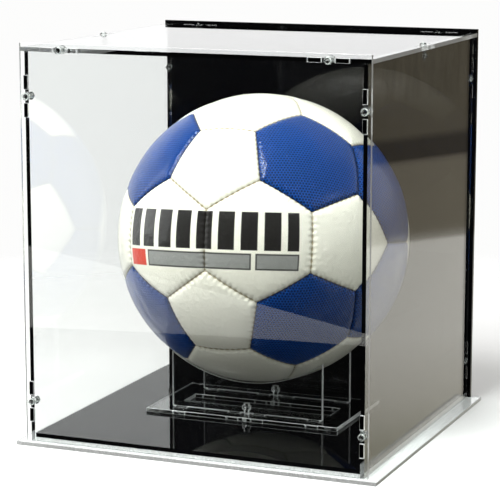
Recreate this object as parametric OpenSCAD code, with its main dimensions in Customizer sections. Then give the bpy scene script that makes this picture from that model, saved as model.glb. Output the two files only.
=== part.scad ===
// Football display case: a clear hood of five slotted sheets, screwed together at
// T-slot joints, standing on a lipped base with a ball cradle inside.
// The front faces -Y, the origin is the centre of the base plate's underside.

/* [Ball] */
// diameter of the inflated ball
ball_d = 218; // [190:1:262]
// thickness of the stitched cover panels
cover_t = 3.5; // [2:0.1:5]
// width of the seam between two cover panels
seam_w = 0.7; // [0.4:0.1:1.2]
// wall thickness of the bladder
bladder_t = 1.5; // [1:0.1:3]
// diameter of the valve's stem
valve_d = 7; // [5:0.5:9]
// turn of the ball about X as it lies on its cradle
ball_turn_x = 3; // [-180:1:180]
// turn of the ball about Y as it lies on its cradle
ball_turn_y = 50; // [-90:1:90]
// turn of the ball about Z as it lies on its cradle
ball_turn_z = -88; // [-180:1:180]

/* [Room round the ball] */
// from the ball to each side sheet
side_gap = 17.2; // [5:0.1:40]
// from the ball to the front sheet
front_gap = 22; // [5:0.5:60]
// from the ball to the back sheet
back_gap = 4; // [2:0.5:60]
// from the ball to the top sheet
top_gap = 38; // [10:1:90]

/* [Sheets] */
// thickness of every hood sheet
sheet_t = 3; // [2:0.1:5]
// how far a sheet runs past the face of the sheet it crosses
edge_lip = 3; // [2:0.1:8]
// gap all round a tab in its slot
tab_clear = 0.1; // [0.05:0.05:0.3]
// air film between two sheets that lie face to face
film = 0.03; // [0.02:0.01:0.1]

/* [Joints] */
// length of one tab
tab_w = 10; // [8:0.5:14]
// space between the two tabs of a joint
tab_space = 10; // [8:0.5:16]
// upper side joints, below the top edge of the front sheet
joint_drop = 38; // [28:1:70]
// lower side joints, above the bottom edge of the front sheet
joint_rise = 30; // [28:1:70]
// top joints, in from the side edge of the front sheet
joint_inset = 31; // [28:1:70]

/* [Screws and nuts] */
// diameter of the screw's shank
screw_d = 3; // [2.5:0.5:4]
// length of the shank under the head
screw_len = 10; // [8:0.5:12]
// diameter of the screw's head
head_d = 5.6; // [5:0.1:7]
// height of the screw's head
head_h = 2; // [1.2:0.1:2.6]
// width of the nut across its flats
nut_af = 5.5; // [5:0.1:7]
// thickness of the nut
nut_t = 2.4; // [2:0.1:3]
// from the sheet's edge to the nut
nut_in = 3.4; // [2:0.1:4]
// extra diameter of a screw's clearance hole
hole_clear = 0.4; // [0.2:0.1:0.8]

/* [Base] */
// thickness of the base plate
base_t = 3; // [2:0.1:6]
// thickness of the clear plinth plate
plinth_t = 3; // [2:0.1:6]
// thickness of the black floor panel
floor_t = 3; // [2.5:0.1:6]
// how far the base plate shows at each side of the hood
base_side_lip = 7.5; // [4:0.5:20]
// how far the base plate shows at the front and at the back
base_end_lip = 2.5; // [1:0.5:20]
// gap between the plinth and the hood's sheets
hood_clear = 0.4; // [0.3:0.1:1.5]

/* [Stand] */
// width of the stand's base plate
stand_w = 155; // [140:1:200]
// depth of the stand's base plate
stand_d = 88; // [80:1:110]
// thickness of the stand's sheets
stand_t = 3; // [2:0.1:5]
// width of each upright
upright_w = 122; // [100:1:150]
// from the middle of the front upright to the middle of the back one
upright_pitch = 60; // [50:1:80]
// from the stand's base plate up to the ball
ball_rise = 20.6; // [14:0.2:40]
// width of the window in the stand's base plate
window_w = 120; // [60:1:140]
// depth of the window in the stand's base plate
window_d = 20; // [10:1:30]
// in from an upright's end to its outer tab
foot_inset = 2; // [1:0.5:10]
// gap between the ball and its cradle
cradle_clear = 0.4; // [0.3:0.1:1]

/* [Hidden] */
$fn = 96;
eps = 0.01;
// how far a tab's root reaches into its own sheet
root = 0.1;
// room inside the hood
room_w = ball_d + 2 * side_gap;
room_d = ball_d + front_gap + back_gap;
ball_y = (front_gap - back_gap) / 2;
// levels, from the table up
plinth_z = base_t + film;
panel_z = plinth_z + plinth_t + film;
floor_z = panel_z + floor_t;
foot_z = floor_z + film;
stand_z = foot_z + stand_t;
ball_r = ball_d / 2;
ball_z = stand_z + ball_rise + ball_r;
roof_z = ball_z + ball_r + top_gap;
rim_z = roof_z + sheet_t + edge_lip;
// sheet sizes
front_w = room_w + 2 * (sheet_t + edge_lip);
side_x = room_w / 2 + sheet_t / 2;
end_y = room_d / 2;
base_w = front_w + 2 * base_side_lip;
base_d = room_d + 2 * (sheet_t + base_end_lip);
// joint positions
high_joint_z = rim_z - joint_drop;
low_joint_z = base_t + joint_rise;
top_joint_x = front_w / 2 - joint_inset;
tab_off = (tab_w + tab_space) / 2;
foot_x = upright_w / 2 - foot_inset - tab_w / 2;
slot_l = tab_w + 2 * tab_clear;
slot_t = sheet_t + 2 * tab_clear;
hole_d = screw_d + hole_clear;
nut_fit = 0.1;
nut_hole_clear = 0.1;
tip_room = 0.6;
head_slot_w = 0.9;
head_slot_h = 1;
head_dome_r = 3.6;
head_seat_d = head_d + 1;
// cover panels: the half angles from a panel's middle to its corners
pent_half = 20.0767;
hex_half = 23.8001;
ring_tilt = 63.4349;
cap_tilt = 37.3774;
belt_tilt = 79.1877;
fifth = 72;
bladder_gap = 0.15;
valve_gap = 0.1;
valve_flange_d = 2 * valve_d;
valve_flange_t = 1.5;
valve_sink = 0.3;
bladder_r = ball_r - cover_t - bladder_gap;

clear_tint = [0.88, 0.95, 0.94, 0.3];
screw_tint = [0.92, 0.96, 0.95, 0.5];
black_tint = [0.03, 0.03, 0.035];
white_tint = [0.93, 0.93, 0.92];
blue_tint = [0.04, 0.3, 0.62];
rubber_tint = [0.1, 0.1, 0.1];

// ---- pieces of a T-slot joint ----

// two tabs on an edge: the edge lies on the second axis, the tabs point along the first
module tab_pair(reach) {
    for (s = [-1, 1]) {
        translate([-root, s * tab_off - tab_w / 2]) square([reach + root, tab_w]);
    }
}

// the slot for the screw's shank with the pocket for its nut
module t_slot(through) {
    depth = screw_len - through + tip_room;
    translate([-depth, -hole_d / 2]) square([depth + eps, hole_d]);
    translate([-nut_in - nut_t - nut_fit, -nut_af / 2 - nut_fit])
        square([nut_t + 2 * nut_fit, nut_af + 2 * nut_fit]);
}

// slots for two tabs with the screw hole between them, tabs stacked along the second axis
module tab_slots() {
    for (s = [-1, 1]) {
        translate([0, s * tab_off]) square([slot_t, slot_l], center = true);
    }
    circle(d = hole_d);
}

// a slotted dome-head screw, the head up from Z 0 and the shank down
module screw() {
    difference() {
        translate([0, 0, film]) intersection() {
            cylinder(d = head_d, h = head_h);
            translate([0, 0, head_h - head_dome_r]) sphere(r = head_dome_r);
        }
        translate([-head_d, -head_slot_w / 2, film + head_h - head_slot_h])
            cube([2 * head_d, head_slot_w, head_slot_h + eps]);
    }
    translate([0, 0, -screw_len]) cylinder(d = screw_d, h = screw_len + film + eps);
}

// the nut of a screw that runs down from Z 0 through a sheet of the given thickness
module nut(through) {
    translate([0, 0, -through - nut_in - nut_t]) difference() {
        cylinder(d = nut_af / cos(30), h = nut_t, $fn = 6);
        translate([0, 0, -eps]) cylinder(d = screw_d + nut_hole_clear, h = nut_t + 2 * eps);
    }
}

// ---- base ----

module base_plate() {
    color(clear_tint) translate([-base_w / 2, -base_d / 2, 0]) cube([base_w, base_d, base_t]);
}

// one layer of the raised plinth that the hood drops over
module plinth_layer(z, t) {
    w = room_w - 2 * hood_clear;
    d = room_d - 2 * hood_clear;
    translate([-w / 2, -d / 2, z]) cube([w, d, t]);
}

module plinth_plate() {
    color(clear_tint) plinth_layer(plinth_z, plinth_t);
}

module floor_panel() {
    color(black_tint) difference() {
        plinth_layer(panel_z, floor_t);
        for (s = [-1, 1]) {
            translate([0, ball_y + s * upright_pitch / 2, panel_z - eps])
                cylinder(d = head_seat_d, h = floor_t + 2 * eps);
        }
    }
}

// ---- hood sheets ----

// front and back sheets share one outline: first axis X, second axis Z
module end_sheet() {
    linear_extrude(sheet_t) difference() {
        translate([-front_w / 2, plinth_z]) square([front_w, rim_z - plinth_z]);
        for (s = [-1, 1]) {
            for (z = [low_joint_z, high_joint_z]) {
                translate([s * side_x, z]) tab_slots();
            }
            translate([s * top_joint_x, roof_z + sheet_t / 2]) rotate(90) tab_slots();
        }
    }
}

module front_panel() {
    color(clear_tint) translate([0, -end_y, 0]) rotate([90, 0, 0]) end_sheet();
}

module back_panel() {
    color(black_tint) translate([0, end_y + sheet_t, 0]) rotate([90, 0, 0]) end_sheet();
}

// a side sheet: first axis Y, second axis Z
module side_sheet() {
    rotate([90, 0, 90]) linear_extrude(sheet_t) difference() {
        union() {
            translate([film - end_y, plinth_z]) square([room_d - 2 * film, roof_z - film - plinth_z]);
            for (a = [0, 1]) {
                for (z = [low_joint_z, high_joint_z]) {
                    mirror([a, 0]) translate([end_y, z]) tab_pair(sheet_t);
                }
            }
            translate([0, roof_z]) rotate(90) tab_pair(sheet_t);
        }
        for (a = [0, 1]) {
            for (z = [low_joint_z, high_joint_z]) {
                mirror([a, 0]) translate([end_y, z]) t_slot(sheet_t);
            }
        }
        translate([0, roof_z]) rotate(90) t_slot(sheet_t);
    }
}

module left_panel() {
    color(clear_tint) translate([-room_w / 2 - sheet_t, 0, 0]) side_sheet();
}

module right_panel() {
    color(clear_tint) translate([room_w / 2, 0, 0]) side_sheet();
}

module top_panel() {
    color(clear_tint) translate([0, 0, roof_z]) linear_extrude(sheet_t) difference() {
        union() {
            translate([-front_w / 2, film - end_y]) square([front_w, room_d - 2 * film]);
            for (s = [-1, 1]) {
                for (a = [-1, 1]) {
                    translate([s * top_joint_x, a * end_y]) rotate(a * 90) tab_pair(sheet_t);
                }
            }
        }
        for (s = [-1, 1]) {
            for (a = [-1, 1]) {
                translate([s * top_joint_x, a * end_y]) rotate(a * 90) t_slot(sheet_t);
            }
            translate([s * side_x, 0]) tab_slots();
        }
    }
}

// ---- hood screws and nuts ----

// places for the side joints of an end sheet, a = -1 at the front and 1 at the back
module at_side_joints(a) {
    for (s = [-1, 1]) {
        for (z = [low_joint_z, high_joint_z]) {
            translate([s * side_x, a * (end_y + sheet_t), z]) rotate([-a * 90, 0, 0]) children();
        }
    }
}

// places for the top joints of an end sheet
module at_top_joints(a) {
    for (s = [-1, 1]) {
        translate([s * top_joint_x, a * (end_y + sheet_t), roof_z + sheet_t / 2])
            rotate([-a * 90, 0, 0]) children();
    }
}

// places for the joints between the top sheet and the side sheets
module at_roof_joints() {
    for (s = [-1, 1]) {
        translate([s * side_x, 0, roof_z + sheet_t]) children();
    }
}

module front_side_screws() {
    color(screw_tint) at_side_joints(-1) rotate(90) screw();
}

module front_side_nuts() {
    color(screw_tint) at_side_joints(-1) nut(sheet_t);
}

module front_top_screws() {
    color(screw_tint) at_top_joints(-1) screw();
}

module front_top_nuts() {
    color(screw_tint) at_top_joints(-1) rotate(30) nut(sheet_t);
}

module back_side_screws() {
    color(screw_tint) at_side_joints(1) rotate(90) screw();
}

module back_side_nuts() {
    color(screw_tint) at_side_joints(1) nut(sheet_t);
}

module back_top_screws() {
    color(screw_tint) at_top_joints(1) screw();
}

module back_top_nuts() {
    color(screw_tint) at_top_joints(1) rotate(30) nut(sheet_t);
}

module roof_screws() {
    color(screw_tint) at_roof_joints() screw();
}

module roof_nuts() {
    color(screw_tint) at_roof_joints() nut(sheet_t);
}

// ---- stand ----

// the slots for an upright's four tabs: first axis X
module foot_slots() {
    for (x = [tab_off, foot_x]) {
        for (s = [-1, 1]) {
            translate([s * x, 0]) square([slot_l, stand_t + 2 * tab_clear], center = true);
        }
    }
}

module stand_base() {
    color(clear_tint) translate([0, ball_y, foot_z]) linear_extrude(stand_t) difference() {
        square([stand_w, stand_d], center = true);
        square([window_w, window_d], center = true);
        for (s = [-1, 1]) {
            translate([0, s * upright_pitch / 2]) {
                foot_slots();
                circle(d = hole_d);
            }
        }
    }
}

// an upright: first axis X, second axis Z, the arc follows the ball
module upright(y) {
    near = upright_pitch / 2 - stand_t / 2;
    arc_r = sqrt(ball_r * ball_r - near * near) + cradle_clear;
    translate([0, ball_y + y + stand_t / 2, 0]) rotate([90, 0, 0]) linear_extrude(stand_t)
        difference() {
            union() {
                translate([-upright_w / 2, stand_z + film]) square([upright_w, ball_rise + ball_r / 2]);
                translate([0, stand_z]) rotate(-90) tab_pair(stand_t);
                for (s = [-1, 1]) {
                    translate([s * foot_x - tab_w / 2, foot_z])
                        square([tab_w, stand_t + root]);
                }
            }
            translate([0, ball_z]) circle(r = arc_r, $fn = 180);
            translate([-upright_w, cradle_top(arc_r)]) square([2 * upright_w, ball_d]);
            translate([0, stand_z]) rotate(-90) t_slot(stand_t);
        }
}

// the level where the arc meets the upright's ends
function cradle_top(r) = ball_z - sqrt(r * r - upright_w * upright_w / 4);

module stand_front_upright() {
    color(clear_tint) upright(-upright_pitch / 2);
}

module stand_back_upright() {
    color(clear_tint) upright(upright_pitch / 2);
}

// places for the stand's screws, which come up from below
module at_stand_joints() {
    for (s = [-1, 1]) {
        translate([0, ball_y + s * upright_pitch / 2, foot_z]) rotate([180, 0, 0]) children();
    }
}

module stand_screws() {
    color(screw_tint) at_stand_joints() screw();
}

module stand_nuts() {
    color(screw_tint) at_stand_joints() rotate(30) nut(stand_t);
}

// ---- ball ----

module on_cradle() {
    translate([0, ball_y, ball_z]) rotate([ball_turn_x, ball_turn_y, ball_turn_z]) children();
}

// one cover panel with its middle on +Z, cut out of the cover by a pyramid from the centre
module cover_panel(sides, half) {
    seam_drop = seam_w / 2 / sin(half * cos(180 / sides));
    difference() {
        intersection() {
            sphere(r = ball_r);
            translate([0, 0, seam_drop])
                cylinder(r1 = 0, r2 = ball_d * tan(half), h = ball_d, $fn = sides);
        }
        sphere(r = ball_r - cover_t);
    }
}

// the twelve pentagons: two poles and two rings of five
module at_pentagons() {
    children();
    for (k = [0 : 4]) {
        rotate([0, ring_tilt, k * fifth]) rotate(180) children();
        rotate([0, 180 - ring_tilt, (k + 0.5) * fifth]) children();
    }
    rotate([0, 180, 0]) children();
}

// a hexagon by its row from the pole, 0 to 3, and its place round the pole
module at_hexagon(row, k) {
    tilt = [cap_tilt, belt_tilt, 180 - belt_tilt, 180 - cap_tilt][row];
    start = row < 2 ? 0.5 : 0;
    rotate([0, tilt, (k + start) * fifth]) rotate(30) children();
}

// the white hexagons as row and place, the rest are blue
white_places = [[0, 0], [0, 2], [0, 4], [1, 2], [2, 0], [3, 0], [3, 2], [3, 3]];

function is_white(row, k) = len([for (p = white_places) if (p == [row, k]) 1]) > 0;

// the bore that the valve's stem sits in, through the last pentagon
module valve_bore() {
    rotate([180, 0, 0]) cylinder(d = valve_d + 2 * valve_gap, h = ball_d);
}

module ball_pentagons() {
    color(white_tint) on_cradle() difference() {
        at_pentagons() cover_panel(5, pent_half);
        valve_bore();
    }
}

module ball_white_hexagons() {
    color(white_tint) on_cradle() for (row = [0 : 3]) {
        for (k = [0 : 4]) {
            if (is_white(row, k)) at_hexagon(row, k) cover_panel(6, hex_half);
        }
    }
}

module ball_blue_hexagons() {
    color(blue_tint) on_cradle() for (row = [0 : 3]) {
        for (k = [0 : 4]) {
            if (!is_white(row, k)) at_hexagon(row, k) cover_panel(6, hex_half);
        }
    }
}

module ball_bladder() {
    color(rubber_tint) on_cradle() difference() {
        sphere(r = bladder_r);
        sphere(r = bladder_r - bladder_t);
        valve_bore();
    }
}

// the valve's stem with its flange against the inside of the bladder
module ball_valve() {
    inner = bladder_r - bladder_t;
    flange_top = sqrt(inner * inner - valve_flange_d * valve_flange_d / 4) - bladder_gap;
    color(rubber_tint) on_cradle() rotate([180, 0, 0]) {
        translate([0, 0, flange_top - valve_flange_t]) cylinder(d = valve_flange_d, h = valve_flange_t);
        translate([0, 0, flange_top - eps]) cylinder(d = valve_d, h = ball_r - valve_sink - flange_top);
    }
}

base_plate();
plinth_plate();
floor_panel();
front_panel();
back_panel();
left_panel();
right_panel();
top_panel();
front_side_screws();
front_side_nuts();
front_top_screws();
front_top_nuts();
back_side_screws();
back_side_nuts();
back_top_screws();
back_top_nuts();
roof_screws();
roof_nuts();
stand_base();
stand_front_upright();
stand_back_upright();
stand_screws();
stand_nuts();
ball_pentagons();
ball_white_hexagons();
ball_blue_hexagons();
ball_bladder();
ball_valve();
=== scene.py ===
import math

import bmesh
import bpy
from mathutils import Euler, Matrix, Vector


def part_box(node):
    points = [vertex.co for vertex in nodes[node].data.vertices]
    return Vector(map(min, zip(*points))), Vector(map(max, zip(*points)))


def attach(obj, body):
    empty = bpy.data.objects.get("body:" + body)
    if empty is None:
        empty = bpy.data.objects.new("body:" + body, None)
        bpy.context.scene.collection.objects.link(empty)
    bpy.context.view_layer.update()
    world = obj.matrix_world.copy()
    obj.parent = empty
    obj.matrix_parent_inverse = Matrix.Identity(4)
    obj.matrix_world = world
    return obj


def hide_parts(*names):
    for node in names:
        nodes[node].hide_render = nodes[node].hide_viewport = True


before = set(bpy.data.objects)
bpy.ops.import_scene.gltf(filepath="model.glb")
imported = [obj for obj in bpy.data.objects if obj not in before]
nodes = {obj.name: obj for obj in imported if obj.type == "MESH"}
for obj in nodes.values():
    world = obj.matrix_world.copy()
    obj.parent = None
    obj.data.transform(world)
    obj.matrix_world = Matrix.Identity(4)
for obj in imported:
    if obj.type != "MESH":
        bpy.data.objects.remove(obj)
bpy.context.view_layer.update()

# ---------- node helpers ----------


def grey(v):
    return (v, v, v, 1)


def new_material(name):
    """A material with one Principled shader in it."""
    m = bpy.data.materials.new(name)
    m.use_nodes = True
    nt = m.node_tree
    nt.nodes.clear()
    out = nt.nodes.new("ShaderNodeOutputMaterial")
    bsdf = nt.nodes.new("ShaderNodeBsdfPrincipled")
    nt.links.new(bsdf.outputs[0], out.inputs[0])
    return m, nt, bsdf, out


def feed(nt, value, socket):
    """Links an output to the socket, or sets a plain value on it."""
    if isinstance(value, (int, float, tuple)):
        socket.default_value = value
    else:
        nt.links.new(value, socket)


def ramp(nt, source, stops):
    r = nt.nodes.new("ShaderNodeValToRGB")
    e = r.color_ramp.elements
    while len(e) < len(stops):
        e.new(0.5)
    for el, (at, value) in zip(e, stops):
        el.position = at
        el.color = value if isinstance(value, tuple) else grey(value)
    nt.links.new(source, r.inputs[0])
    return r.outputs[0]


def coords(nt, kind="Object"):
    return nt.nodes.new("ShaderNodeTexCoord").outputs[kind]


def attribute(nt, name, output="Fac"):
    a = nt.nodes.new("ShaderNodeAttribute")
    a.attribute_name = name
    return a.outputs[output]


def noise(nt, scale, detail, vector=None, stretch=None):
    v = vector or coords(nt)
    if stretch:
        mp = nt.nodes.new("ShaderNodeMapping")
        mp.inputs["Scale"].default_value = stretch
        nt.links.new(v, mp.inputs["Vector"])
        v = mp.outputs[0]
    n = nt.nodes.new("ShaderNodeTexNoise")
    n.inputs["Scale"].default_value = scale
    n.inputs["Detail"].default_value = detail
    nt.links.new(v, n.inputs["Vector"])
    return n.outputs["Fac"]


def bump(nt, bsdf, height, strength, distance, normal=None):
    b = nt.nodes.new("ShaderNodeBump")
    b.inputs["Strength"].default_value = strength
    b.inputs["Distance"].default_value = distance
    nt.links.new(height, b.inputs["Height"])
    if normal:
        nt.links.new(normal, b.inputs["Normal"])
    nt.links.new(b.outputs[0], bsdf.inputs["Normal"])
    return b.outputs[0]


def math_node(nt, op, a, b=None, clamp=False):
    n = nt.nodes.new("ShaderNodeMath")
    n.operation = op
    n.use_clamp = clamp
    feed(nt, a, n.inputs[0])
    if b is not None:
        feed(nt, b, n.inputs[1])
    return n.outputs[0]


def plus(nt, a, b, clamp=False):
    return math_node(nt, "ADD", a, b, clamp)


def minus(nt, a, b):
    return math_node(nt, "SUBTRACT", a, b)


def times(nt, a, b, clamp=False):
    return math_node(nt, "MULTIPLY", a, b, clamp)


def over(nt, a, b, clamp=False):
    return math_node(nt, "DIVIDE", a, b, clamp)


def above(nt, a, b):
    return math_node(nt, "GREATER_THAN", a, b)


def below(nt, a, b):
    return math_node(nt, "LESS_THAN", a, b)


def between(nt, x, low, high, soft):
    """1 where x is between low and high, with edges that wide."""
    up = over(nt, minus(nt, x, low), soft, clamp=True)
    down = over(nt, minus(nt, high, x), soft, clamp=True)
    return times(nt, up, down)


def vector_node(nt, op, a, b, output):
    n = nt.nodes.new("ShaderNodeVectorMath")
    n.operation = op
    feed(nt, a, n.inputs[0])
    if b is not None:
        feed(nt, b, n.inputs[1])
    return n.outputs[output]


def dot(nt, a, b):
    return vector_node(nt, "DOT_PRODUCT", a, b, "Value")


def mix_color(nt, fac, a, b, kind="MIX"):
    n = nt.nodes.new("ShaderNodeMix")
    n.data_type = "RGBA"
    n.blend_type = kind
    feed(nt, fac, n.inputs[0])
    feed(nt, a, n.inputs[6])
    feed(nt, b, n.inputs[7])
    return n.outputs[2]


def see_through(nt, where, bsdf, out, tint=(1, 1, 1, 1)):
    """Swaps the shader for plain transparency where the mask is 1."""
    clear = nt.nodes.new("ShaderNodeBsdfTransparent")
    clear.inputs[0].default_value = tint
    mix = nt.nodes.new("ShaderNodeMixShader")
    nt.links.new(where, mix.inputs[0])
    nt.links.new(bsdf.outputs[0], mix.inputs[1])
    nt.links.new(clear.outputs[0], mix.inputs[2])
    nt.links.new(mix.outputs[0], out.inputs[0])


# ---------- sheets, fasteners, rubber ----------

ACRYLIC_IOR = 1.49
SHEET_TINT = (0.975, 0.99, 0.985, 1)
SCREW_TINT = (0.93, 0.96, 0.94, 1)
# what a clear piece takes from the lamps' light that goes through it
SHADOW_TINT = (0.97, 0.985, 0.98, 1)
# roughness that a sawn edge has on top of the face's
SAWN_ROUGHNESS = 0.16
# the black sheets' own colour, and the dust on them
BLACK_DEEP = (0.0008, 0.0008, 0.001, 1)
BLACK_DUST = (0.008, 0.008, 0.0085, 1)
# the axes that each sheet's sawn edges look along
SAWN = {
    "left_panel": "Z",
    "right_panel": "Z",
    "front_panel": "XZ",
    "top_panel": "X",
    "stand_base": "X",
    "stand_front_upright": "X",
    "stand_back_upright": "X",
    "base_plate": "XY",
    "plinth_plate": "XY",
}
# how much of a sawn edge is matt white, by the axes that its sheet's edges look along
FROST = {"Z": 0.35, "XZ": 0.6, "X": 0.45, "XY": 0.6}
# the sheets whose broken corners catch the light as thin lines
BROKEN = ("stand_base", "stand_front_upright", "stand_back_upright", "base_plate", "plinth_plate")
BROKEN_WIDTH = 0.00035
BROKEN_FROM = math.radians(40)
WELD_REACH = 1e-6


def clear_sheet(name, tint, wiped, sawn="", frost=0.0):
    """Polished clear acrylic: a refracting solid that lets lamp light through, with faint wipe marks.
    The faces that look along the sawn axes are matt cut edges, which catch the light."""
    m, nt, bsdf, out = new_material(name)
    bsdf.inputs["Base Color"].default_value = tint
    bsdf.inputs["IOR"].default_value = ACRYLIC_IOR
    bsdf.inputs["Transmission Weight"].default_value = 1.0
    marks = noise(nt, 40.0, 5.0, stretch=(1.0, 1.0, 0.25))
    rough = ramp(nt, marks, [(0.45, 0.0), (0.75, wiped)])
    if sawn:
        normal = coords(nt, "Normal")
        squared = vector_node(nt, "MULTIPLY", normal, normal, "Vector")
        mask = tuple(1.0 if k in sawn else 0.0 for k in "XYZ")
        edge = above(nt, dot(nt, squared, mask), 0.5)
        # the arrises and the hole walls look along no axis
        arris = below(nt, dot(nt, squared, squared), 0.9)
        edge = math_node(nt, "MAXIMUM", edge, arris)
        saw_marks = noise(nt, 900.0, 2.0)
        pale = times(nt, edge, ramp(nt, saw_marks, [(0.3, frost * 0.8), (0.7, frost * 1.2)]))
        nt.links.new(minus(nt, 1.0, pale), bsdf.inputs["Transmission Weight"])
        rough = plus(nt, rough, times(nt, edge, SAWN_ROUGHNESS))
    nt.links.new(rough, bsdf.inputs["Roughness"])
    path = nt.nodes.new("ShaderNodeLightPath")
    see_through(nt, path.outputs["Is Shadow Ray"], bsdf, out, SHADOW_TINT)
    return m


def black_sheet(name, gloss):
    """Glossy black acrylic with a little dust, wipe marks and the slight waviness of a cast sheet."""
    m, nt, bsdf, _ = new_material(name)
    bsdf.inputs["Specular IOR Level"].default_value = gloss
    bsdf.inputs["IOR"].default_value = ACRYLIC_IOR
    dust = noise(nt, 900.0, 2.0)
    nt.links.new(ramp(nt, dust, [(0.62, BLACK_DEEP), (0.85, BLACK_DUST)]), bsdf.inputs["Base Color"])
    wipe = noise(nt, 18.0, 4.0, stretch=(1.0, 1.0, 0.3))
    nt.links.new(ramp(nt, wipe, [(0.3, 0.02), (0.8, 0.06)]), bsdf.inputs["Roughness"])
    bump(nt, bsdf, noise(nt, 9.0, 2.0), 0.05, 0.0006)
    return m


def rubber(name, tone):
    m, nt, bsdf, _ = new_material(name)
    n = noise(nt, 300.0, 4.0)
    nt.links.new(ramp(nt, n, [(0.3, tone), (0.7, tone * 1.6)]), bsdf.inputs["Base Color"])
    bsdf.inputs["Roughness"].default_value = 0.7
    bump(nt, bsdf, n, 0.2, 0.0004)
    return m


CLEAR = {k: clear_sheet("clear_acrylic_" + k, SHEET_TINT, 0.012, k, v) for k, v in FROST.items()}
SCREW = clear_sheet("clear_fastener", SCREW_TINT, 0.06)
OTHERS = {
    "floor_panel": black_sheet("black_acrylic_floor", 0.5),
    "back_panel": black_sheet("black_acrylic_back", 0.3),
    "ball_bladder": rubber("bladder_rubber", 0.03),
    "ball_valve": rubber("valve_rubber", 0.02),
}

for name, node in nodes.items():
    if name in SAWN:
        mat = CLEAR[SAWN[name]]
    elif name in OTHERS:
        mat = OTHERS[name]
    elif name.endswith(("screws", "nuts")):
        mat = SCREW
    else:
        continue
    node.data.materials.clear()
    node.data.materials.append(mat)
    if name in BROKEN:
        joined = node.modifiers.new("joined", "WELD")
        joined.merge_threshold = WELD_REACH
        worn = node.modifiers.new("arris", "BEVEL")
        worn.width = BROKEN_WIDTH
        worn.segments = 1
        worn.limit_method = "ANGLE"
        worn.angle_limit = BROKEN_FROM

# ---------- the ball's panels ----------

lo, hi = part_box("ball_bladder")
BALL_C = (Vector(lo) + Vector(hi)) / 2
SKIN = 0.0035
BLADDER_GAP = 0.00015
BALL_R = (hi.z - lo.z) / 2 + SKIN + BLADDER_GAP
# how the ball lies on its cradle, in turns about X, Y and Z, in degrees
BALL_TURN = Euler([math.radians(v) for v in (3, 50, -88)], "XYZ").to_matrix()
# spacing of the stitches along a seam
STITCH = 0.0044
# depth and reach of the seam's groove, of the puffed panel's fall towards it, and of a stitch's pull
GROOVE = (0.0011, 0.0011)
PUFF = (0.0008, 0.0062)
PULL = (0.0004, 0.0013)
# how far from the seam the stitches pull the skin in
PULL_FROM_SEAM = 0.0011
# points along a panel's side, and rings from its middle to its seam, closer together at the seam
ACROSS, RINGS, CROWDING = 60, 22, 1.5
# tilts from the pole to the first ring of pentagons and to the two nearest rings of hexagons
RING = math.degrees(math.atan(2))
CAP, BELT = 37.3774, 79.1877


def on_ball(tilt, turn):
    t, a = math.radians(tilt), math.radians(turn)
    return Vector((math.sin(t) * math.cos(a), math.sin(t) * math.sin(a), math.cos(t)))


PENTAGONS = [on_ball(0, 0)] + [on_ball(RING, 72 * k) for k in range(5)]
PENTAGONS += [-p for p in PENTAGONS]
HEXAGONS = {}
for k in range(5):
    HEXAGONS[0, k] = on_ball(CAP, 72 * k + 36)
    HEXAGONS[1, k] = on_ball(BELT, 72 * k + 36)
    HEXAGONS[2, k] = on_ball(180 - BELT, 72 * k)
    HEXAGONS[3, k] = on_ball(180 - CAP, 72 * k)
# the white hexagons, by ring and place in it; the others are blue
WHITE_HEXAGONS = [(0, 0), (0, 2), (0, 4), (1, 2), (2, 0), (3, 0), (3, 2), (3, 3)]

# the directions of two neighbouring pentagons have a larger dot product than this
NEIGHBOURS = 0.4
CORNERS = []
for i, p in enumerate(PENTAGONS):
    for j, q in enumerate(PENTAGONS):
        if i != j and p.dot(q) > NEIGHBOURS:
            CORNERS.append((p * 2 + q).normalized())


def flat_axes(c, towards):
    """Two directions across the panel whose middle is c, the first one towards a corner."""
    e = (towards - c * towards.dot(c)).normalized()
    return e, c.cross(e)


def panel_corners(c, count):
    """The corners of the panel whose middle is c, in order round it."""
    near = sorted(CORNERS, key=lambda v: -v.dot(c))[:count]
    e, g = flat_axes(c, near[0])
    return sorted(near, key=lambda v: math.atan2(v.dot(g), v.dot(e)))


def seam_profile(d, run):
    """How far the skin lies under the ball's surface at d from a seam and run along it: a puffed panel
    whose edge is pulled in at each stitch."""
    pull = 0.5 + 0.5 * math.cos(2 * math.pi * run / STITCH)
    deep = GROOVE[0] * math.exp(-d / GROOVE[1]) + PUFF[0] * math.exp(-d / PUFF[1])
    return deep + pull * PULL[0] * math.exp(-(((d - PULL_FROM_SEAM) / PULL[1]) ** 2))


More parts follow.
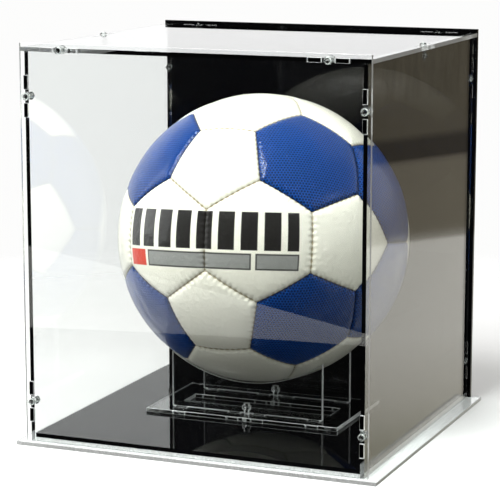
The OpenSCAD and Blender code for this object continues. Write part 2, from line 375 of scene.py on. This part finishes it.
def panel_mesh(name, panels, sides):
    """Stitched panels as one piece, each puffed between its seams, with its seam distance, its
    place along the seam and its flat coordinates kept for the material."""
    co, faces, seam, run, flat = [], [], [], [], []
    per = sides * ACROSS
    for c in panels:
        corners = panel_corners(c, sides)
        edges = [(corners[i], corners[(i + 1) % sides]) for i in range(sides)]
        e, g = flat_axes(c, corners[0])
        first = len(co)
        co.append(c)
        for k in range(1, RINGS + 1):
            t = 1 - (1 - k / RINGS) ** CROWDING
            for a, b in edges:
                for s in range(ACROSS):
                    edge = a.lerp(b, s / ACROSS).normalized()
                    co.append(c.lerp(edge, t).normalized())
        for i in range(per):
            faces.append((first, first + 1 + i, first + 1 + (i + 1) % per))
        for k in range(RINGS - 1):
            r0, r1 = first + 1 + k * per, first + 1 + (k + 1) * per
            for i in range(per):
                j = (i + 1) % per
                faces.append((r0 + i, r1 + i, r1 + j, r0 + j))
        # each seam's plane normal, and the direction along it
        seams = [(a.cross(b).normalized(), (b - a).normalized()) for a, b in edges]
        for p in co[first:]:
            d, k = min((math.asin(max(-1, min(1, p.dot(n)))), k) for k, (n, _) in enumerate(seams))
            along = seams[k][1]
            seam.append(max(d, 0) * BALL_R)
            run.append(math.asin(max(-1, min(1, p.dot(along)))) * BALL_R)
            flat.append((p.dot(e) * BALL_R, p.dot(g) * BALL_R, 0))
    places = []
    for p, d, r in zip(co, seam, run):
        places.append(BALL_C + BALL_TURN @ (p * (BALL_R - seam_profile(d, r))))
    me = bpy.data.meshes.new(name)
    me.from_pydata(places, [], faces)
    me.polygons.foreach_set("use_smooth", [True] * len(me.polygons))
    for kept, values in (("seam_distance", seam), ("seam_run", run)):
        me.attributes.new(kept, "FLOAT", "POINT").data.foreach_set("value", values)
    for kept, vectors in (("panel_flat", flat), ("ball_place", co)):
        values = [v for vector in vectors for v in vector]
        me.attributes.new(kept, "FLOAT_VECTOR", "POINT").data.foreach_set("vector", values)
    o = bpy.data.objects.new(name, me)
    bpy.context.scene.collection.objects.link(o)
    return o


# ---------- the ball's materials ----------

# spacing of the blue panels' round cells
BLUE_GRAIN = 0.0022
# colours from one patch of a panel to another: the blue's cells and mesh, the mesh lighter partly as a
# painted highlight on its raised lines, and the white
BLUE_CELLS = ((0.0002, 0.005, 0.045, 1), (0.0003, 0.007, 0.058, 1))
BLUE_MESH_AND_HIGHLIGHT = ((0.001, 0.052, 0.25, 1), (0.002, 0.061, 0.29, 1))
WHITES = ((0.80, 0.785, 0.665, 1), (0.86, 0.85, 0.745, 1))
BLUE_SEAM = (0.10, 0.13, 0.16, 1)
WHITE_SEAM = (0.44, 0.39, 0.29, 1)
# how much wider the dark seam line is at a stitch, how far it darkens, and how far puckers run in
STITCH_BULGE = 0.0003
SEAM_LINE_REACH = 0.004
PUCKER_REACH = 0.008
PUCKER_HEIGHT = -0.18
WRINKLE_HEIGHT = 1.3
SKIN_ROUGHNESS = 0.30
COAT = 0.5
COAT_ROUGHNESS = 0.05
# how glossy the skin is under its coat, and how strongly its grain stands out
BLUE_GLOSS, WHITE_GLOSS = 0.25, 0.4
BLUE_RELIEF, WHITE_RELIEF = 0.7, 0.12
PUCKER_DEPTH, GRAIN_DEPTH = 0.0006, 0.00022

# the print's axes on the ball: its middle, its right and its up
PRINT_MIDDLE = (0.5257, 0, 0.8507)
PRINT_RIGHT = (0, 1, 0)
PRINT_UP = (-0.8507, 0, 0.5257)
# the print's parts as left, right, low and high, in degrees from its middle
BAR_BAND = (-43, 36.6, -3.4, 11.2)
BAR_PITCH = 8.8
STRIPS = ((-27.2, 18.6, -10.8, -4.3), (19.9, 36.8, -10.8, -4.3))
SQUARE = (-38.8, -28.3, -10.8, -4.3)
OUTLINE_WIDTH = 0.6
BAR_INK = (0.012, 0.011, 0.010, 1)
OUTLINE_INK = (0.055, 0.055, 0.050, 1)
STRIP_INK = (0.26, 0.265, 0.25, 1)
SQUARE_INK = (0.62, 0.055, 0.028, 1)


def honeycomb(nt):
    """0 in the middle of each round cell and 1 in the raised mesh between the cells."""
    flat = attribute(nt, "panel_flat", "Vector")
    f = 2 * math.pi / (BLUE_GRAIN * math.cos(math.radians(30)))
    total = None
    for k in range(3):
        a = math.radians(60 * k)
        wave = math_node(nt, "COSINE", dot(nt, flat, (f * math.cos(a), f * math.sin(a), 0)))
        total = wave if total is None else plus(nt, total, wave)
    # the sum of the three waves runs from -1.5 to 3
    return ramp(nt, over(nt, plus(nt, total, 1.5), 4.5), [(0.12, 1.0), (0.48, 0.0)])


def with_print(nt, place, base):
    """A plain band of bars over two outlined grey strips and a red square, with no lettering."""
    lon = math_node(nt, "ARCTAN2", dot(nt, place, PRINT_RIGHT), dot(nt, place, PRINT_MIDDLE))
    lat = math_node(nt, "ARCSINE", dot(nt, place, PRINT_UP))

    def field(sides, soft=0.3):
        left, right, low, high = (math.radians(v) for v in sides)
        across = between(nt, lon, left, right, math.radians(soft))
        return times(nt, across, between(nt, lat, low, high, math.radians(0.25)))

    bars = math_node(nt, "COSINE", times(nt, lon, 2 * math.pi / math.radians(BAR_PITCH)))
    bars = times(nt, plus(nt, bars, 0.72), 6.0, clamp=True)
    base = mix_color(nt, times(nt, field(BAR_BAND, 0.25), bars), base, BAR_INK)
    for left, right, low, high in STRIPS:
        base = mix_color(nt, field((left, right, low, high)), base, OUTLINE_INK)
        w = OUTLINE_WIDTH
        base = mix_color(nt, field((left + w, right - w, low + w, high - w)), base, STRIP_INK)
    return mix_color(nt, field(SQUARE), base, SQUARE_INK)


def ball_material(name, blue=False, printed=False):
    """Glossy stitched ball skin, blue with a honeycomb grain or smooth and white."""
    m, nt, bsdf, _ = new_material(name)
    place = attribute(nt, "ball_place", "Vector")
    seam = attribute(nt, "seam_distance")
    patch = noise(nt, 2.2, 3.0, vector=place)
    if blue:
        grain = honeycomb(nt)
        # the blue's own honeycomb pattern, its lighter mesh partly a painted highlight on the raised
        # lines
        base = mix_color(nt, grain, mix_color(nt, patch, *BLUE_CELLS), mix_color(nt, patch, *BLUE_MESH_AND_HIGHLIGHT))
    else:
        grain = noise(nt, 260.0, 3.0, vector=place)
        base = mix_color(nt, patch, *WHITES)
    if printed:
        base = with_print(nt, place, base)
    # darker colour along the seam, widest at each stitch and fading out a short way beside it
    stitch = math_node(nt, "COSINE", times(nt, attribute(nt, "seam_run"), 2 * math.pi / STITCH))
    off = minus(nt, seam, times(nt, plus(nt, stitch, 1.0), STITCH_BULGE))
    line = ramp(nt, over(nt, off, SEAM_LINE_REACH), [(0.02, 1.0), (0.08, 0.25), (0.40, 0.0)])
    base = mix_color(nt, line, base, BLUE_SEAM if blue else WHITE_SEAM, "MULTIPLY")
    nt.links.new(base, bsdf.inputs["Base Color"])
    bsdf.inputs["Roughness"].default_value = SKIN_ROUGHNESS
    bsdf.inputs["Specular IOR Level"].default_value = BLUE_GLOSS if blue else WHITE_GLOSS
    bsdf.inputs["Coat Weight"].default_value = COAT
    bsdf.inputs["Coat Roughness"].default_value = COAT_ROUGHNESS
    # puckers run in from the stitches, and the skin is slightly wrinkled
    near = ramp(nt, over(nt, seam, PUCKER_REACH), [(0.0, 1.0), (1.0, 0.0)])
    pucker = times(nt, times(nt, stitch, near), PUCKER_HEIGHT)
    wrinkle = times(nt, noise(nt, 26.0, 4.0, vector=place), WRINKLE_HEIGHT)
    first = bump(nt, bsdf, plus(nt, pucker, wrinkle), 0.7, PUCKER_DEPTH)
    bump(nt, bsdf, grain, BLUE_RELIEF if blue else WHITE_RELIEF, GRAIN_DEPTH, first)
    return m


def ball_piece(name, panels, sides, node, material):
    o = panel_mesh(name, panels, sides)
    o.data.materials.append(material)
    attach(o, "ball")
    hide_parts(node)


WHITE = ball_material("ball_white")
PRINTED = ball_material("ball_white_printed", printed=True)
BLUE = ball_material("ball_blue", blue=True)
ball_piece("pentagon_panels", PENTAGONS, 5, "ball_pentagons", WHITE)
whites = [HEXAGONS[k] for k in WHITE_HEXAGONS]
blues = [v for k, v in HEXAGONS.items() if k not in WHITE_HEXAGONS]
ball_piece("white_hexagon_panels", whites, 6, "ball_white_hexagons", PRINTED)
ball_piece("blue_hexagon_panels", blues, 6, "ball_blue_hexagons", BLUE)

# ---------- floor ----------

FLOOR_HALF = 1.5
# the floor lies a hair under the base, so that the two aren't in one plane
FLOOR_DROP = 0.0002
FLOOR_TONES = ((0.87, 0.87, 0.86, 1), (0.90, 0.90, 0.89, 1))
# where the floor starts to fade out and where it is gone, as parts of its half width
FLOOR_FADE = (0.17, 0.5)


def floor_plane():
    """A pale floor that fades into the white surroundings. Only the camera sees it, straight or through
    clear sheets: the table in reflections is the surroundings' own."""
    me = bpy.data.meshes.new("studio_floor")
    bm = bmesh.new()
    bmesh.ops.create_grid(bm, x_segments=1, y_segments=1, size=FLOOR_HALF)
    bm.to_mesh(me)
    bm.free()
    o = bpy.data.objects.new("studio_floor", me)
    bpy.context.scene.collection.objects.link(o)
    o.location.z = -FLOOR_DROP
    m, nt, bsdf, out = new_material("studio_floor")
    tones = ramp(nt, noise(nt, 6.0, 3.0), list(zip((0.3, 0.7), FLOOR_TONES)))
    nt.links.new(tones, bsdf.inputs["Base Color"])
    bsdf.inputs["Roughness"].default_value = 0.6
    bsdf.inputs["Specular IOR Level"].default_value = 0.1
    path = nt.nodes.new("ShaderNodeLightPath")
    bounced = plus(nt, path.outputs["Glossy Depth"], path.outputs["Diffuse Depth"], clamp=True)
    away = vector_node(nt, "LENGTH", coords(nt), None, "Value")
    fade = ramp(nt, over(nt, away, FLOOR_HALF), list(zip(FLOOR_FADE, (0.0, 1.0))))
    see_through(nt, math_node(nt, "MAXIMUM", bounced, fade), bsdf, out)
    me.materials.append(m)


floor_plane()

# ---------- surroundings ----------

# what the camera sees round the object, and a little brighter through clear sheets
PLAIN = (0.98, 0.98, 0.975, 1)
PLAIN_THROUGH = (1.16, 1.16, 1.15, 1)
# what reflections see: pale surroundings, and to the right the bands of a table and a wall
PALE = (1.1, 1.1, 1.1, 1)
TABLE = (1.0, 0.97, 0.88, 1)
LOW_WALL = (0.27, 0.24, 0.18, 1)
RAIL = (0.075, 0.065, 0.05, 1)
WALL = (0.16, 0.14, 0.10, 1)
# where each band's colour begins or ends, by the height of the direction looked in
WALL_BANDS = (
    (-0.225, (0.55, 0.53, 0.42, 1)),
    (-0.204, (0.79, 0.76, 0.66, 1)),
    (-0.175, TABLE),
    (-0.1310, TABLE),
    (-0.1285, (0.40, 0.37, 0.30, 1)),
    (-0.1265, (0.36, 0.33, 0.27, 1)),
    (-0.1245, LOW_WALL),
    (-0.0925, LOW_WALL),
    (-0.0900, RAIL),
    (-0.0810, RAIL),
    (-0.0790, WALL),
    (0.12, WALL),
    (0.35, grey(0.9)),
)
# how much lower the bands lie to the right
WALL_SLOPE = 0.15
# the wall's grain starts above this height
GRAIN_FROM = -0.062
# a dark room in front, with one pale strip low down between two sloping lines
DARK = grey(0.012)
STRIP = (1.0, 1.0, 0.95, 1)
STRIP_TOP, STRIP_TOP_SLOPE = -0.3091, 0.28
STRIP_BOTTOM, STRIP_BOTTOM_SLOPE = -0.2461, 0.066
CEILING = grey(0.16)
# the soft light that matt surfaces get, by height from straight down (0) to straight up (1)
SOFT_LIGHT = (
    (0.0, (0.004, 0.0035, 0.002, 1)),
    (0.42, (0.015, 0.014, 0.010, 1)),
    (0.50, (0.07, 0.068, 0.056, 1)),
    (0.62, (0.24, 0.235, 0.215, 1)),
    (1.0, (0.80, 0.80, 0.79, 1)),
)


def mirrored_room(nt, d):
    """What reflections see: a pale table to the horizon with a brown wall and a dark rail to the right,
    a dark room with one pale strip in front, and a dim ceiling."""
    x, y, z = (dot(nt, d, axis) for axis in ((1, 0, 0), (0, 1, 0), (0, 0, 1)))
    height = dot(nt, d, (WALL_SLOPE, 0, 1))
    bands = [(at * 2 + 0.5, color) for at, color in WALL_BANDS]
    wall = ramp(nt, plus(nt, times(nt, height, 2.0), 0.5), bands)
    grain = noise(nt, 420.0, 3.0, vector=d, stretch=(1, 1, 0.03))
    grain = ramp(nt, grain, [(0.3, 0.82), (0.7, 1.12)])
    wall = mix_color(nt, above(nt, height, GRAIN_FROM), wall, grain, "MULTIPLY")
    right = ramp(nt, x, [(0.02, 0.0), (0.14, 1.0)])
    room = mix_color(nt, right, PALE, wall)
    # uneven light below this height, which is higher on the left, so that black sheets mirror something
    low = plus(nt, z, times(nt, minus(nt, right, 1.0), 0.18))
    low = ramp(nt, plus(nt, low, 1.0), [(0.66, 1.0), (0.71, 0.0)])
    uneven = noise(nt, 7.0, 1.0, vector=d, stretch=(1, 1, 0.3))
    uneven = ramp(nt, uneven, [(0.38, 0.30), (0.62, 1.25)])
    room = mix_color(nt, low, room, uneven, "MULTIPLY")
    under = below(nt, dot(nt, d, (STRIP_TOP_SLOPE, 0, 1)), STRIP_TOP)
    over_bottom = above(nt, dot(nt, d, (STRIP_BOTTOM_SLOPE, 0, 1)), STRIP_BOTTOM)
    in_front = mix_color(nt, times(nt, under, over_bottom), DARK, STRIP)
    front = ramp(nt, plus(nt, times(nt, y, 0.5), 0.5), [(0.30, 1.0), (0.5, 0.0)])
    room = mix_color(nt, front, room, in_front)
    return mix_color(nt, ramp(nt, z, [(0.33, 0.0), (0.6, 1.0)]), room, CEILING)


def studio_world():
    """White surroundings for the camera, a room for reflections, and for matt surfaces a soft light
    that falls off downwards."""
    world = bpy.data.worlds.new("studio")
    bpy.context.scene.world = world
    world.use_nodes = True
    nt = world.node_tree
    background = nt.nodes["Background"]
    d = coords(nt, "Generated")
    room = mirrored_room(nt, d)
    soft = ramp(nt, plus(nt, times(nt, dot(nt, d, (0, 0, 1)), 0.5), 0.5), SOFT_LIGHT)
    path = nt.nodes.new("ShaderNodeLightPath")
    through = above(nt, path.outputs["Transmission Depth"], 0.5)
    mirrored = above(nt, path.outputs["Glossy Depth"], 0.5)
    scattered = above(nt, path.outputs["Diffuse Depth"], 0.5)
    seen = mix_color(nt, mirrored, mix_color(nt, through, PLAIN, PLAIN_THROUGH), room)
    nt.links.new(mix_color(nt, scattered, seen, soft), background.inputs[0])
    background.inputs[1].default_value = 1.0


studio_world()
bpy.context.scene.view_settings.view_transform = "Standard"

# ---------- lamps, camera ----------


def area(name, where, look_at, size, power, mirrored=True):
    d = bpy.data.lights.new(name, "AREA")
    d.shape = "RECTANGLE"
    d.size, d.size_y = size
    d.energy = power
    o = bpy.data.objects.new(name, d)
    o.location = where
    o.rotation_euler = (Vector(look_at) - Vector(where)).to_track_quat("-Z", "Y").to_euler()
    o.visible_glossy = mirrored
    bpy.context.scene.collection.objects.link(o)


area("overhead", (-0.35, -0.80, 1.45), (0, 0, 0.12), (0.9, 0.9), 31, mirrored=False)
area("right_fill", (1.3, -0.35, 0.55), (0, 0, 0.15), (0.8, 0.8), 1.0, mirrored=False)
area("left_fill", (-1.7, -0.5, 0.7), (0, 0, 0.15), (1.2, 1.2), 9)
area("back_floor", (0.3, 1.6, 1.6), (0.2, 0.9, 0), (2.4, 1.6), 6)

# the camera stands in front, a little to the right, and looks slightly down
YAW, PITCH = 22.48, 10.34
SENSOR_WIDTH = 36.0
LENS = 149.4504
cam_data = bpy.data.cameras.new("camera")
cam_data.sensor_width = SENSOR_WIDTH
cam_data.lens = LENS
cam_data.clip_start = 0.02
cam = bpy.data.objects.new("camera", cam_data)
cam.location = (0.5828, -1.4246, 0.4150)
cam.rotation_euler = Euler((math.radians(90 - PITCH), 0, math.radians(YAW)), "XYZ")
bpy.context.scene.collection.objects.link(cam)
bpy.context.scene.camera = cam
